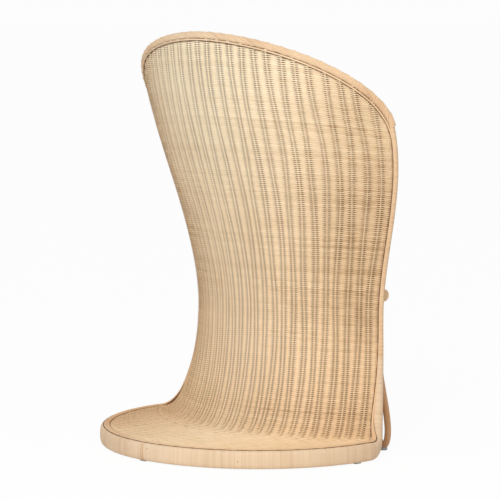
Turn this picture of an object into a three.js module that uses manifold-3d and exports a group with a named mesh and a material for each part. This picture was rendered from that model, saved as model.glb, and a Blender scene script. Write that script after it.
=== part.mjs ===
// Low lounge chair in woven rattan: one sheet runs from a round seat into a tall hooded back.
// Millimetres, +Z up, the sitter faces -Y, and the origin is on the floor at the middle of the chair's box.
import * as THREE from 'three';
import { mergeVertices } from 'three/addons/utils/BufferGeometryUtils.js';
import Module from 'manifold-3d';

const wasm = await Module();
wasm.setup();

// Outline of the frame
const hoopRadius = 381;
const hoopTube = 23.5;
const glideHeight = 4;
const waistHeight = 340;
const springHeight = 822;
const overallHeight = 1050;

// The sheet's level sections are arcs: their bend radius, how their half width along the arc changes from the
// seat's corners to the waist and on to the hood, and how far forward their middle lies
const cornerBend = 510;
const waistBend = 411;
const topBend = 588;
const waistNarrowing = 45;
const hoodWidening = 111;
const bendPower = 2;
const archPower = 1.84;
const scoopForward = 137;
const waistForward = 58;
const hoodForward = 206;

// Sheet and edge tubes
const sheetThickness = 5;
const seatLift = 20;
const seatEndRun = 32.3;
const rimTube = 8.5;
const braidTube = 11;
const thinningEnd = 240;
const thinningPower = 0.45;
const braidSwell = 80;
const clearance = 0.3;
const jointGap = 0.9;
const rimOverrun = 1.8;
const trimShare = 0.2;

// Pole, legs, bars and feet
const poleTube = 15;
const poleInset = 4.6;
const poleHeight = 396;
const poleNotch = 6;
const legRod = 8.2;
const legFootInset = 32;
const legFootSpread = 37;
const legTopInset = 46;
const legTopSpread = 26;
const legBellyHeight = 60;
const legNeckHeight = 230;
const legLean = 31;
const capRadius = 9.5;
const capBase = 3;
const capTop = 11;
const glideLength = 18;
const glideWidth = 15;
const glideTop = 9;
const glideTurn = 1.5;
const cutterLength = 36;
const barTube = 8;
const rearBarInset = 12;
const barSpacing = 170;

// Counts of facets and repeats
const halfColumns = 19;
const seatRows = 5;
const scoopRows = 11;
const backRows = 21;
const hoopArcPoints = 48;
const climbPoints = 7;
const hoopSteps = 72;
const rimPoints = 14;
const rimSteps = 24;
const archPoints = 28;
const braidSteps = 40;
const legPoints = 6;
const legSteps = 30;
const tubeSides = 12;
const rodSides = 10;
const roundSides = 24;
const ringSides = 60;

const rattan = { color: 0xb98a5c, roughness: 0.62, metalness: 0 };
const paleWeave = { color: 0xc9a57c, roughness: 0.7, metalness: 0 };
const brownRod = { color: 0x8a5c3a, roughness: 0.55, metalness: 0 };
const greyPlastic = { color: 0x8d8a86, roughness: 0.5, metalness: 0 };

const hoopHeight = glideHeight + hoopTube;
const seatHeight = hoopHeight + seatLift;
const archRise = overallHeight - braidTube - springHeight;

// The lowest level section ends where its arc meets the hoop's middle line
const cornerReach = cornerBend - scoopForward;
const cornerTurn = Math.acos(
  (cornerBend ** 2 + cornerReach ** 2 - hoopRadius ** 2) / (2 * cornerBend * cornerReach),
);
const cornerHalfArc = cornerBend * cornerTurn;
const waistHalfArc = cornerHalfArc - waistNarrowing;
const springHalfArc = waistHalfArc + hoodWidening;
const cornerBack = cornerReach - cornerBend * Math.cos(cornerTurn);
const cornerAngle = Math.atan2(cornerBend * Math.sin(cornerTurn), -cornerBack);

const halfSheet = sheetThickness / 2;
const quarterTurn = Math.PI / 2;
const sides = { left: 1, right: -1 };

const { lerp, clamp } = THREE.MathUtils;
const ease = (share) => share * share * (3 - 2 * share);
const shareOf = (value, from, to) => clamp((value - from) / (to - from), 0, 1);

function levelSection(height, floorHeight) {
  if (height < waistHeight) {
    const drop = 1 - shareOf(height, floorHeight, waistHeight);
    const run = Math.sqrt(1 - drop * drop);
    return {
      bend: lerp(cornerBend, waistBend, Math.pow(run, bendPower)),
      halfArc: lerp(cornerHalfArc, waistHalfArc, run),
      forward: lerp(scoopForward, waistForward, run),
    };
  }
  const rise = shareOf(height, waistHeight, overallHeight);
  const spread = shareOf(height, waistHeight, springHeight);
  return {
    bend: lerp(waistBend, topBend, (rise + ease(rise)) / 2),
    halfArc: lerp(waistHalfArc, springHalfArc, ease(spread)),
    forward: lerp(waistForward, hoodForward, ease(rise)),
  };
}

function levelPoint(section, arc, height) {
  const angle = arc / section.bend;
  const back = section.bend * (1 - Math.cos(angle)) - section.forward;
  return new THREE.Vector3(section.bend * Math.sin(angle), back, height);
}

// Share of the arch's rise that is reached at a sideways share of its half width
function archShare(share) {
  return Math.pow(Math.max(0, 1 - Math.pow(Math.abs(share), archPower)), 1 / archPower);
}

// The edge tube is thick round the seat, thins out up the side of the back and swells to the top braid
function edgeTube(height) {
  const thinning = Math.pow(shareOf(height, hoopHeight, thinningEnd), thinningPower);
  const swell = ease(shareOf(height, springHeight - braidSwell, springHeight));
  return lerp(hoopTube, rimTube, thinning) + (braidTube - rimTube) * swell;
}

// Middle of the edge tube: sideways is -1 on the sitter's right and 1 on the left
function edgePoint(sideways, height) {
  const section = levelSection(height, hoopHeight);
  return levelPoint(section, sideways * section.halfArc, height);
}

// The sheet is drawn a little way into the edge tube, which then trims it
function sheetInset(height) {
  const lift = seatLift * (1 - shareOf(height, seatHeight, waistHeight));
  return trimShare * edgeTube(height - lift);
}

function sheetLevelPoint(share, height) {
  const section = levelSection(height, seatHeight);
  return levelPoint(section, share * (section.halfArc - sheetInset(height)), height);
}

// The sheet's front arc ends a little before the hoop's corners
const seatTurn = cornerAngle - seatEndRun / hoopRadius;

// Straight runs from the front arc back to where the scoop starts
function seatPoint(share, run) {
  const rear = sheetLevelPoint(share, seatHeight);
  const widest = sheetLevelPoint(1, seatHeight);
  const radius = hoopRadius - sheetInset(seatHeight);
  const turn = Math.asin(clamp(rear.x / widest.x, -1, 1)) * (seatTurn / quarterTurn);
  const front = new THREE.Vector3(radius * Math.sin(turn), -radius * Math.cos(turn), seatHeight);
  return front.lerp(rear, run);
}

function scoopPoint(share, run) {
  return sheetLevelPoint(share, lerp(waistHeight, seatHeight, Math.cos(run * quarterTurn)));
}

function backPoint(share, run) {
  const rise = archRise - trimShare * braidTube;
  const top = springHeight + rise * archShare(share);
  return sheetLevelPoint(share, lerp(waistHeight, top, run));
}

function sheetPoint(share, row) {
  if (row < seatRows) return seatPoint(share, row / seatRows);
  if (row < seatRows + scoopRows) return scoopPoint(share, (row - seatRows) / scoopRows);
  return backPoint(share, (row - seatRows - scoopRows) / backRows);
}

function solidOf(points, faces) {
  const geometry = new THREE.BufferGeometry();
  const places = points.flatMap((point) => [point.x, point.y, point.z]);
  geometry.setAttribute('position', new THREE.Float32BufferAttribute(places, 3));
  geometry.setIndex(faces.flat());
  geometry.computeVertexNormals();
  return geometry;
}

function gridNormal(grid, column, row) {
  const before = grid[Math.max(column - 1, 0)];
  const after = grid[Math.min(column + 1, grid.length - 1)];
  const across = after[row].clone().sub(before[row]);
  const lower = grid[column][Math.max(row - 1, 0)];
  const upper = grid[column][Math.min(row + 1, grid[column].length - 1)];
  return across.cross(upper.clone().sub(lower)).normalize();
}

// Two offset layers of one grid, closed round their border
function wovenSheet() {
  const rows = seatRows + scoopRows + backRows;
  const columns = 2 * halfColumns;
  const grid = [];
  for (let column = 0; column <= columns; column += 1) {
    const share = Math.sin((column / halfColumns - 1) * quarterTurn);
    grid.push(Array.from({ length: rows + 1 }, (_, row) => sheetPoint(share, row)));
  }
  const points = [];
  for (const offset of [halfSheet, -halfSheet]) {
    grid.forEach((line, column) => line.forEach((point, row) => {
      points.push(point.clone().addScaledVector(gridNormal(grid, column, row), offset));
    }));
  }
  const layer = (columns + 1) * (rows + 1);
  const at = (side, column, row) => side * layer + column * (rows + 1) + row;
  const faces = [];
  const quad = (a, b, c, d) => faces.push([a, b, c], [a, c, d]);
  for (let column = 0; column < columns; column += 1) {
    const next = column + 1;
    for (let row = 0; row < rows; row += 1) {
      quad(at(0, column, row), at(0, next, row), at(0, next, row + 1), at(0, column, row + 1));
      quad(at(1, column, row), at(1, column, row + 1), at(1, next, row + 1), at(1, next, row));
    }
    quad(at(1, column, 0), at(1, next, 0), at(0, next, 0), at(0, column, 0));
    quad(at(0, column, rows), at(0, next, rows), at(1, next, rows), at(1, column, rows));
  }
  for (let row = 0; row < rows; row += 1) {
    quad(at(0, 0, row), at(0, 0, row + 1), at(1, 0, row + 1), at(1, 0, row));
    quad(at(1, columns, row), at(1, columns, row + 1), at(0, columns, row + 1), at(0, columns, row));
  }
  return cut(solidOf(points, faces), edgeTrimmer());
}

// A closed tube along a line of points, with its radius given at each place
function tubeAlong(path, steps, sideCount, radiusAt) {
  const curve = new THREE.CatmullRomCurve3(path);
  const frames = curve.computeFrenetFrames(steps, false);
  const points = [];
  const faces = [];
  for (let step = 0; step <= steps; step += 1) {
    const middle = curve.getPointAt(step / steps);
    const radius = radiusAt(middle);
    for (let side = 0; side < sideCount; side += 1) {
      const angle = (side / sideCount) * 2 * Math.PI;
      const point = middle.clone().addScaledVector(frames.normals[step], radius * Math.cos(angle));
      points.push(point.addScaledVector(frames.binormals[step], radius * Math.sin(angle)));
    }
  }
  for (let step = 0; step < steps; step += 1) {
    for (let side = 0; side < sideCount; side += 1) {
      const here = step * sideCount + side;
      const beside = step * sideCount + ((side + 1) % sideCount);
      faces.push([here, beside, beside + sideCount], [here, beside + sideCount, here + sideCount]);
    }
  }
  const last = steps * sideCount;
  for (let side = 1; side < sideCount - 1; side += 1) {
    faces.push([0, side + 1, side], [last, last + side, last + side + 1]);
  }
  return solidOf(points, faces);
}

const alongShares = (count) => Array.from({ length: count }, (_, index) => index / (count - 1));

// Round the front on the floor, then up both sides
function hoopPath() {
  const climb = alongShares(climbPoints).slice(1).map((share) => lerp(hoopHeight, thinningEnd, share * share));
  const path = climb.slice().reverse().map((height) => edgePoint(sides.right, height));
  for (const share of alongShares(hoopArcPoints)) {
    const turn = lerp(-cornerAngle, cornerAngle, share);
    path.push(new THREE.Vector3(hoopRadius * Math.sin(turn), -hoopRadius * Math.cos(turn), hoopHeight));
  }
  path.push(...climb.map((height) => edgePoint(sides.left, height)));
  return path;
}

function rimPath(side) {
  const start = thinningEnd + jointGap;
  const end = springHeight + rimOverrun;
  return alongShares(rimPoints).map((share) => edgePoint(side, lerp(start, end, share)));
}

function archPath(start) {
  return alongShares(archPoints).map((share) => {
    const sideways = Math.sin(lerp(-quarterTurn + start, quarterTurn - start, share));
    return edgePoint(sideways, springHeight + archRise * archShare(sideways));
  });
}

function hoopTubeSolid(margin) {
  return tubeAlong(hoopPath(), hoopSteps, tubeSides, (middle) => edgeTube(middle.z) + margin);
}

function rimTubeSolid(side, margin) {
  return tubeAlong(rimPath(side), rimSteps, tubeSides, (middle) => edgeTube(middle.z) + margin);
}

function braidTubeSolid(start, margin) {
  return tubeAlong(archPath(start), braidSteps, tubeSides, () => braidTube + margin);
}

// The whole edge as one solid, wider than its tubes by the clearance
function edgeTrimmer() {
  const margin = clearance / Math.cos(Math.PI / tubeSides);
  const path = [...rimPath(sides.right).reverse(), ...hoopPath(), ...rimPath(sides.left)];
  const steps = 2 * rimSteps + hoopSteps;
  const loop = tubeAlong(path, steps, tubeSides, (middle) => edgeTube(middle.z));
  const tubes = [
    hoopTubeSolid(margin),
    rimTubeSolid(sides.left, margin),
    rimTubeSolid(sides.right, margin),
    braidTubeSolid(0, margin),
  ];
  return fromSolid(tubes.reduce((whole, tube) => whole.add(toSolid(tube)), toSolid(loop)));
}

// Solid joins and cuts
function toSolid(geometry) {
  const bare = geometry.clone();
  bare.deleteAttribute('normal');
  bare.deleteAttribute('uv');
  const merged = mergeVertices(bare);
  return new wasm.Manifold(new wasm.Mesh({
    numProp: 3,
    vertProperties: new Float32Array(merged.attributes.position.array),
    triVerts: new Uint32Array(merged.index.array),
  }));
}

function fromSolid(solid) {
  const mesh = solid.getMesh();
  const geometry = new THREE.BufferGeometry();
  geometry.setAttribute('position', new THREE.BufferAttribute(new Float32Array(mesh.vertProperties), 3));
  geometry.setIndex(new THREE.BufferAttribute(new Uint32Array(mesh.triVerts), 1));
  geometry.computeVertexNormals();
  return geometry;
}

const cut = (geometry, cutter) => fromSolid(toSolid(geometry).subtract(toSolid(cutter)));

// The pole runs from rim to rim, and the legs hang from it near its ends
const crossing = edgePoint(1, poleHeight);
const poleBack = crossing.y + rimTube + poleTube - poleNotch;
const poleHalfLength = crossing.x - poleInset;
const legFootMiddle = poleHalfLength - legFootInset;
const legTopMiddle = poleHalfLength - legTopInset;

// Straight pole behind the waist, from rim to rim
function poleSolid(radius) {
  const geometry = new THREE.CylinderGeometry(radius, radius, 2 * poleHalfLength, roundSides);
  return geometry.rotateZ(quarterTurn).translate(0, poleBack, poleHeight);
}

// One side's thin edge tube, notched where the pole crosses behind it and cut off under the braid
function sideRim(side) {
  const notched = cut(rimTubeSolid(side, 0), poleSolid(poleTube + clearance));
  return cut(notched, braidTubeSolid(0, rimOverrun));
}

// Hairpin rod: down from the pole, round over the floor cap and back up to the pole
function legPath(side) {
  const turnHeight = capBase + clearance + legRod;
  const place = (sideways, height) => {
    const lean = legLean * (1 - height / poleHeight);
    return new THREE.Vector3(side * sideways, poleBack + lean, height);
  };
  const climb = alongShares(legPoints).map((share) => {
    const height = lerp(legBellyHeight, poleHeight, share);
    const narrowing = ease(shareOf(height, legBellyHeight, legNeckHeight));
    const middle = lerp(legFootMiddle, legTopMiddle, narrowing);
    return { height, middle, half: lerp(legFootSpread, legTopSpread, narrowing) / 2 };
  });
  const inner = climb.slice().reverse().map((spot) => place(spot.middle - spot.half, spot.height));
  const outer = climb.map((spot) => place(spot.middle + spot.half, spot.height));
  return [...inner, place(legFootMiddle, turnHeight), ...outer];
}

function legTube(side, radius) {
  return tubeAlong(legPath(side), legSteps, rodSides, () => radius);
}

function rearLeg(side) {
  return cut(legTube(side, legRod), poleSolid(poleTube + clearance));
}

function footCap(side) {
  const cap = new THREE.CylinderGeometry(capRadius, capRadius, capTop, roundSides);
  cap.rotateX(quarterTurn).translate(side * legFootMiddle, poleBack + legLean, capTop / 2);
  return cut(cap, legTube(side, legRod + clearance));
}

// Flat pad under the hoop, hollowed to seat it
function glide(turn) {
  const pad = new THREE.BoxGeometry(glideLength, glideWidth, glideTop);
  pad.translate(0, -hoopRadius, glideTop / 2).rotateZ(turn);
  const wall = hoopTube + clearance;
  const hoop = new THREE.CylinderGeometry(wall, wall, cutterLength, ringSides);
  hoop.rotateZ(quarterTurn).translate(0, -hoopRadius, hoopHeight).rotateZ(turn);
  return cut(pad, hoop);
}

// Bar across the hoop, close under the seat part of the sheet
function seatBar(place) {
  const wall = hoopTube + clearance;
  const height = seatHeight - halfSheet - clearance - barTube;
  const half = Math.sqrt(hoopRadius * hoopRadius - place * place);
  const bar = new THREE.CylinderGeometry(barTube, barTube, 2 * half, roundSides);
  bar.rotateZ(quarterTurn).translate(0, place, height);
  const ring = new THREE.TorusGeometry(hoopRadius, wall, roundSides, ringSides);
  ring.translate(0, 0, hoopHeight);
  return cut(bar, ring);
}

function addPart(group, name, geometry, look) {
  const mesh = new THREE.Mesh(geometry, new THREE.MeshStandardMaterial(look));
  mesh.name = name;
  group.add(mesh);
}

function buildChair() {
  const chair = new THREE.Group();
  addPart(chair, 'woven_sheet', wovenSheet(), paleWeave);
  addPart(chair, 'seat_hoop', hoopTubeSolid(0), rattan);
  addPart(chair, 'top_braid', braidTubeSolid(jointGap / archRise, 0), rattan);
  addPart(chair, 'waist_pole', poleSolid(poleTube), rattan);
  for (const [name, side] of Object.entries(sides)) {
    addPart(chair, `side_rim_${name}`, sideRim(side), rattan);
    addPart(chair, `rear_leg_${name}`, rearLeg(side), brownRod);
    addPart(chair, `foot_cap_${name}`, footCap(side), greyPlastic);
    addPart(chair, `glide_${name}`, glide(side * glideTurn), greyPlastic);
  }
  addPart(chair, 'glide_front', glide(0), greyPlastic);
  const rearBar = cornerBack - rearBarInset;
  [rearBar - barSpacing, rearBar].forEach((place, index) => {
    addPart(chair, `seat_bar_${index + 1}`, seatBar(place), rattan);
  });
  const box = new THREE.Box3().setFromObject(chair);
  chair.position.y = -(box.min.y + box.max.y) / 2;
  return chair;
}

export default buildChair();
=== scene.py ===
import math
import bmesh
import bpy
import numpy as np
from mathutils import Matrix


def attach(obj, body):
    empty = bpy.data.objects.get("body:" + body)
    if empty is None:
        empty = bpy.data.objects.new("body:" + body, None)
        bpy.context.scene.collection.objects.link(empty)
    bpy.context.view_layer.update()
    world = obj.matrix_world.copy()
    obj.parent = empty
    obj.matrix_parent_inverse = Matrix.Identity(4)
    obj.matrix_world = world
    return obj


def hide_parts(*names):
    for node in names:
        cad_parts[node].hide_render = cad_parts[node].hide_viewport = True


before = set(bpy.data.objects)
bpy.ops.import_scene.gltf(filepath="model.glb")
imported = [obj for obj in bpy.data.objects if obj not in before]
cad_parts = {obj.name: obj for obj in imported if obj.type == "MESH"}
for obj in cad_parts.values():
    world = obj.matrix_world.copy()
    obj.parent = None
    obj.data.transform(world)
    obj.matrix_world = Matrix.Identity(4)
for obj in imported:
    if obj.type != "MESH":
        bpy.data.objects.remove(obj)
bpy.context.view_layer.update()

scene = bpy.context.scene
millimetre = 0.001
rng = np.random.default_rng(11)

# the chair's form in millimetres, as its solids have it: forward is -Y, and the hoop's middle lies
# backShift behind the origin
form = {
    "backShift": 120.16, "hoopRadius": 381.0, "hoopTube": 23.5, "glideHeight": 4.0, "seatLift": 20.0,
    "waistHeight": 340.0, "springHeight": 822.0, "overallHeight": 1050.0,
    "cornerBend": 510.0, "waistBend": 411.0, "topBend": 588.0,
    "waistNarrowing": 45.0, "hoodWidening": 111.0,
    "scoopForward": 137.0, "waistForward": 58.0, "hoodForward": 206.0,
    "archPower": 1.84, "rimTube": 8.5, "braidTube": 11.0, "thinningEnd": 240.0, "thinningPower": 0.45,
    "braidSwell": 80.0, "trimShare": 0.2,
}
hoopRadius = form["hoopRadius"]
hoopTube = form["hoopTube"]
rimTube = form["rimTube"]
braidTube = form["braidTube"]
cornerBend = form["cornerBend"]
waistHeight = form["waistHeight"]
springHeight = form["springHeight"]
thinningEnd = form["thinningEnd"]
hoopHeight = form["glideHeight"] + hoopTube
seatHeight = hoopHeight + form["seatLift"]
archRise = form["overallHeight"] - braidTube - springHeight
sheetRise = archRise - form["trimShare"] * braidTube
cornerReach = cornerBend - form["scoopForward"]
cornerTurn = math.acos((cornerBend ** 2 + cornerReach ** 2 - hoopRadius ** 2)
                       / (2.0 * cornerBend * cornerReach))
cornerHalfArc = cornerBend * cornerTurn
waistHalfArc = cornerHalfArc - form["waistNarrowing"]
springHalfArc = waistHalfArc + form["hoodWidening"]


def lerp(start, end, share):
    return start + (end - start) * share


def ease(share):
    return share * share * (3.0 - 2.0 * share)


def shareOf(value, start, end):
    return np.clip((value - start) / (end - start), 0.0, 1.0)


def levelSection(height, floorHeight):
    # bend radius, half width along the arc and forward reach of the level section at each height
    drop = 1.0 - shareOf(height, floorHeight, waistHeight)
    run = np.sqrt(1.0 - drop * drop)
    rise = shareOf(height, waistHeight, form["overallHeight"])
    spread = shareOf(height, waistHeight, springHeight)

    def joined(corner, waist, top, below, above):
        return np.where(height < waistHeight, lerp(corner, waist, below), lerp(waist, top, above))

    return (joined(cornerBend, form["waistBend"], form["topBend"], run * run, (rise + ease(rise)) / 2.0),
            joined(cornerHalfArc, waistHalfArc, springHalfArc, run, ease(spread)),
            joined(form["scoopForward"], form["waistForward"], form["hoodForward"], run, ease(rise)))


def levelPoint(arc, height, floorHeight):
    bend, forward = levelSection(height, floorHeight)[::2]
    angle = arc / bend
    back = bend * (1.0 - np.cos(angle)) - forward
    return np.stack([bend * np.sin(angle), back, height + 0.0 * angle], -1)


def edgeTube(height):
    thinning = shareOf(height, hoopHeight, thinningEnd) ** form["thinningPower"]
    swell = ease(shareOf(height, springHeight - form["braidSwell"], springHeight))
    return lerp(hoopTube, rimTube, thinning) + (braidTube - rimTube) * swell


def archShare(share):
    inner = np.clip(1.0 - np.abs(share) ** form["archPower"], 0.0, 1.0)
    return inner ** (1.0 / form["archPower"])


def sheetHalf(height):
    lift = form["seatLift"] * (1.0 - shareOf(height, seatHeight, waistHeight))
    return levelSection(height, seatHeight)[1] - form["trimShare"] * edgeTube(height - lift)


def sheetPoint(share, height):
    return levelPoint(share * sheetHalf(height), height, seatHeight)


def unit(vectors):
    tiny = 1e-9
    return vectors / np.maximum(np.linalg.norm(vectors, axis=-1, keepdims=True), tiny)


def sheetFace(share, height):
    # direction that the sheet faces, towards the sitter
    heightStep = 0.4
    shareStep = 0.002
    high = np.clip(height + heightStep, seatHeight, None)
    low = np.clip(height - heightStep, seatHeight, None)
    up = sheetPoint(share, high) - sheetPoint(share, low)
    across = sheetPoint(share + shareStep, height) - sheetPoint(share - shareStep, height)
    return unit(np.cross(across, up))


def toWorld(points):
    return (np.asarray(points) + np.array([0.0, form["backShift"], 0.0])) * millimetre


def scoopHeights(count):
    # heights from the seat to the waist, closer together low down, where the sheet turns
    return waistHeight - (waistHeight - seatHeight) * np.cos(np.linspace(0.0, math.pi / 2, count))


waver = {"waves": 6, "paceStep": 0.83, "leanTurn": 3.0, "crossPace": 0.7, "crossTurn": 2.0, "size": 1.9}


def swirl(across, along, seed):
    # smooth wander between -1 and 1, the same at every run
    turns = np.random.default_rng(seed).uniform(0.0, 2.0 * math.pi, waver["waves"])
    total = np.zeros(np.broadcast(across, along).shape)
    for index, turn in enumerate(turns):
        pace = 1.0 + waver["paceStep"] * index
        lean = math.cos(turn * waver["leanTurn"])
        wave = np.sin(pace * (along + lean * across) + turn)
        total = total + wave * np.cos(pace * waver["crossPace"] * across + waver["crossTurn"] * turn) / pace
    return total / waver["size"]


def wander(places, run, look):
    # swirl along a row that lies at one place up the sheet; look is the waves across and up, and the seed
    across, up, seed = look
    return swirl(places * across, run / up + 0.0 * places, seed)


def runAlong(points):
    return np.concatenate([[0.0], np.cumsum(np.linalg.norm(np.diff(points, axis=0), axis=1))])


def addObject(name, content):
    item = bpy.data.objects.new(name, content)
    scene.collection.objects.link(item)
    return item


def newTree(name, floats, integers):
    tree = bpy.data.node_groups.new(name, "GeometryNodeTree")
    tree.interface.new_socket("Geometry", in_out="INPUT", socket_type="NodeSocketGeometry")
    tree.interface.new_socket("Geometry", in_out="OUTPUT", socket_type="NodeSocketGeometry")
    kinds = {**dict.fromkeys(floats, "Float"), **dict.fromkeys(integers, "Int"), "Finish": "Material"}
    for label, kind in kinds.items():
        tree.interface.new_socket(label, in_out="INPUT", socket_type="NodeSocket" + kind)
    return tree, tree.nodes.new("NodeGroupInput").outputs


def addNode(tree, kind, wires=(), **settings):
    # wires are (input name or number, socket or value)
    node = tree.nodes.new(kind)
    for key, value in settings.items():
        setattr(node, key, value)
    for key, value in wires:
        if isinstance(value, bpy.types.NodeSocket):
            tree.links.new(value, node.inputs[key])
        else:
            node.inputs[key].default_value = value
    return node


def flow(tree, kind, wires=(), **settings):
    # a new node's first output
    return addNode(tree, kind, wires, **settings).outputs[0]


def calc(tree, operation, *values):
    return flow(tree, "ShaderNodeMath", list(enumerate(values)), operation=operation)


def vectorCalc(tree, operation, first, second=None, scale=None):
    wires = [(key, value) for key, value in ((0, first), (1, second), ("Scale", scale)) if value is not None]
    node = addNode(tree, "ShaderNodeVectorMath", wires, operation=operation)
    return node.outputs["Value" if operation == "DOT_PRODUCT" else "Vector"]


def named(tree, name, kind="FLOAT"):
    return flow(tree, "GeometryNodeInputNamedAttribute", [("Name", name)], data_type=kind)


def stored(tree, geometry, name, value, kind="FLOAT", domain="POINT"):
    return flow(tree, "GeometryNodeStoreNamedAttribute", [(0, geometry), ("Name", name), ("Value", value)],
                data_type=kind, domain=domain)


def randomTone(tree, wires):
    return addNode(tree, "FunctionNodeRandomValue", wires, data_type="FLOAT").outputs[1]


def circle(tree, sides, radius=1.0):
    return flow(tree, "GeometryNodeCurvePrimitiveCircle", [("Resolution", sides), ("Radius", radius)])


def curveOf(tree, geometry):
    return flow(tree, "GeometryNodeMeshToCurve", [(0, geometry)])


def ringedCurve(tree, given, pace):
    # the guide as a curve with evenly spaced rings, and how many paces it has run at each of them
    curve = curveOf(tree, given["Geometry"])
    rings = flow(tree, "GeometryNodeResampleCurve", [(0, curve), ("Length", given["Ring Spacing"])],
                 mode="LENGTH")
    run = addNode(tree, "GeometryNodeSplineParameter").outputs["Length"]
    return rings, calc(tree, "DIVIDE", run, pace)


def sweep(tree, curve, profile):
    girth = named(tree, "girth")
    return flow(tree, "GeometryNodeCurveToMesh",
                [("Curve", curve), ("Profile Curve", profile), ("Scale", girth), ("Fill Caps", True)])


def finishTree(tree, mesh, finish):
    smooth = flow(tree, "GeometryNodeSetShadeSmooth", [(0, mesh)])
    real = flow(tree, "GeometryNodeRealizeInstances", [(0, smooth)])
    painted = flow(tree, "GeometryNodeSetMaterial", [(0, real), ("Material", finish)])
    tree.links.new(painted, tree.nodes.new("NodeGroupOutput").inputs[0])
    return tree


def weaverTree():
    # rows of strands, lifted to either side of the sheet where they pass a stake
    tree, given = newTree("weavers", ["Lift"], ["Sides"])
    reach = calc(tree, "MULTIPLY", named(tree, "side"), given["Lift"])
    lift = vectorCalc(tree, "SCALE", named(tree, "face", "FLOAT_VECTOR"), scale=reach)
    placed = flow(tree, "GeometryNodeSetPosition", [(0, given["Geometry"]), ("Offset", lift)])
    strands = sweep(tree, curveOf(tree, placed), circle(tree, given["Sides"]))
    return finishTree(tree, strands, given["Finish"])


def rodTree():
    # round rods along lines
    tree, given = newTree("rods", [], ["Sides"])
    tube = sweep(tree, curveOf(tree, given["Geometry"]), circle(tree, given["Sides"]))
    return finishTree(tree, tube, given["Finish"])


def sectionPlace(tree, groove):
    # moves a point of a round tube out to a section between an oval and a rectangle
    groovePower = 3.0
    middle, outward, face = (named(tree, name, "FLOAT_VECTOR") for name in ("middle", "outward", "face"))
    power = named(tree, "power")
    sunk = calc(tree, "MULTIPLY", calc(tree, "POWER", named(tree, "groove"), groovePower), groove)
    arm = vectorCalc(tree, "SUBTRACT", flow(tree, "GeometryNodeInputPosition"), middle)
    arm = vectorCalc(tree, "NORMALIZE", arm)
    across, up = (vectorCalc(tree, "DOT_PRODUCT", arm, axis) for axis in (outward, face))
    powers = [calc(tree, "POWER", calc(tree, "ABSOLUTE", part), power) for part in (across, up)]
    spread = calc(tree, "POWER", calc(tree, "ADD", *powers), calc(tree, "DIVIDE", -1.0, power))
    steps = []
    for part, half, axis in ((across, "depth", outward), (up, "girth", face)):
        size = calc(tree, "SUBTRACT", named(tree, half), sunk)
        reach = calc(tree, "MULTIPLY", calc(tree, "MULTIPLY", part, spread), size)
        steps.append(vectorCalc(tree, "SCALE", axis, scale=reach))
    return vectorCalc(tree, "ADD", middle, vectorCalc(tree, "ADD", *steps))


def wrappedTree():
    # a rod or band wound with peel: each strip is a low crown, with a tone of its own
    tree, given = newTree("wound peel", ["Strip Width", "Ring Spacing", "Groove"], ["Sides", "Seed"])
    rings, turns = ringedCurve(tree, given, given["Strip Width"])
    across = calc(tree, "ABSOLUTE", calc(tree, "MULTIPLY_ADD", calc(tree, "FRACT", turns), 2.0, -1.0))
    tone = randomTone(tree, [("ID", calc(tree, "FLOOR", turns)), ("Seed", given["Seed"])])
    marked = stored(tree, stored(tree, rings, "tone", tone), "groove", across)
    cored = stored(tree, marked, "middle", flow(tree, "GeometryNodeInputPosition"), "FLOAT_VECTOR")
    tube = sweep(tree, cored, circle(tree, given["Sides"]))
    place = sectionPlace(tree, given["Groove"])
    shaped = flow(tree, "GeometryNodeSetPosition", [(0, tube), ("Position", place)])
    return finishTree(tree, shaped, given["Finish"])


def ropeTree():
    # strands laid round a line, in bundles of three whose middle strand stands proud
    toneSeed = 5
    lengths = ["Strand Radius", "Lay Radius", "Bundle Rise", "Pitch", "Ring Spacing"]
    tree, given = newTree("twisted border", lengths, ["Strands", "Sides"])
    rings, turns = ringedCurve(tree, given, given["Pitch"])
    tilt = calc(tree, "MULTIPLY", turns, 2.0 * math.pi)
    laid = flow(tree, "GeometryNodeSetCurveTilt", [(0, rings), ("Tilt", tilt)])
    ring = circle(tree, given["Strands"], given["Lay Radius"])
    outward = vectorCalc(tree, "NORMALIZE", flow(tree, "GeometryNodeInputPosition"))
    third = calc(tree, "MODULO", flow(tree, "GeometryNodeInputIndex"), 3.0)
    rise = calc(tree, "MULTIPLY", calc(tree, "COMPARE", third, 1.0, 0.1), given["Bundle Rise"])
    risen = vectorCalc(tree, "SCALE", outward, scale=rise)
    bundle = flow(tree, "GeometryNodeSetPosition", [(0, ring), ("Offset", risen)])
    strand = circle(tree, given["Sides"], given["Strand Radius"])
    strands = flow(tree, "GeometryNodeInstanceOnPoints", [("Points", bundle), ("Instance", strand)])
    toned = stored(tree, strands, "tone", randomTone(tree, [("Seed", toneSeed)]), domain="INSTANCE")
    profile = flow(tree, "GeometryNodeRealizeInstances", [(0, toned)])
    return finishTree(tree, sweep(tree, laid, profile), given["Finish"])


def guideLines(name, lines, closed=False, **attributes):
    # lines in millimetres become a mesh of edges that a tree sweeps
    points = toWorld(np.concatenate(lines))
    edges = []
    first = 0
    for line in lines:
        spots = np.arange(first, first + len(line))
        edges.append(np.stack([spots[:-1], spots[1:]], -1))
        if closed:
            edges.append(np.array([[spots[-1], spots[0]]]))
        first += len(line)
    edges = np.concatenate(edges)
    mesh = bpy.data.meshes.new(name)
    mesh.vertices.add(len(points))
    mesh.vertices.foreach_set("co", points.ravel())
    mesh.edges.add(len(edges))
    mesh.edges.foreach_set("vertices", edges.astype(np.int32).ravel())
    for key, values in attributes.items():
        values = np.concatenate(values) if isinstance(values, list) else np.full(len(points), values)
        kind, field = ("FLOAT_VECTOR", "vector") if values.ndim == 2 else ("FLOAT", "value")
        layer = mesh.attributes.new(key, kind, "POINT")
        layer.data.foreach_set(field, values.astype(np.float32).ravel())
    mesh.update()
    return addObject(name, mesh)


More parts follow.
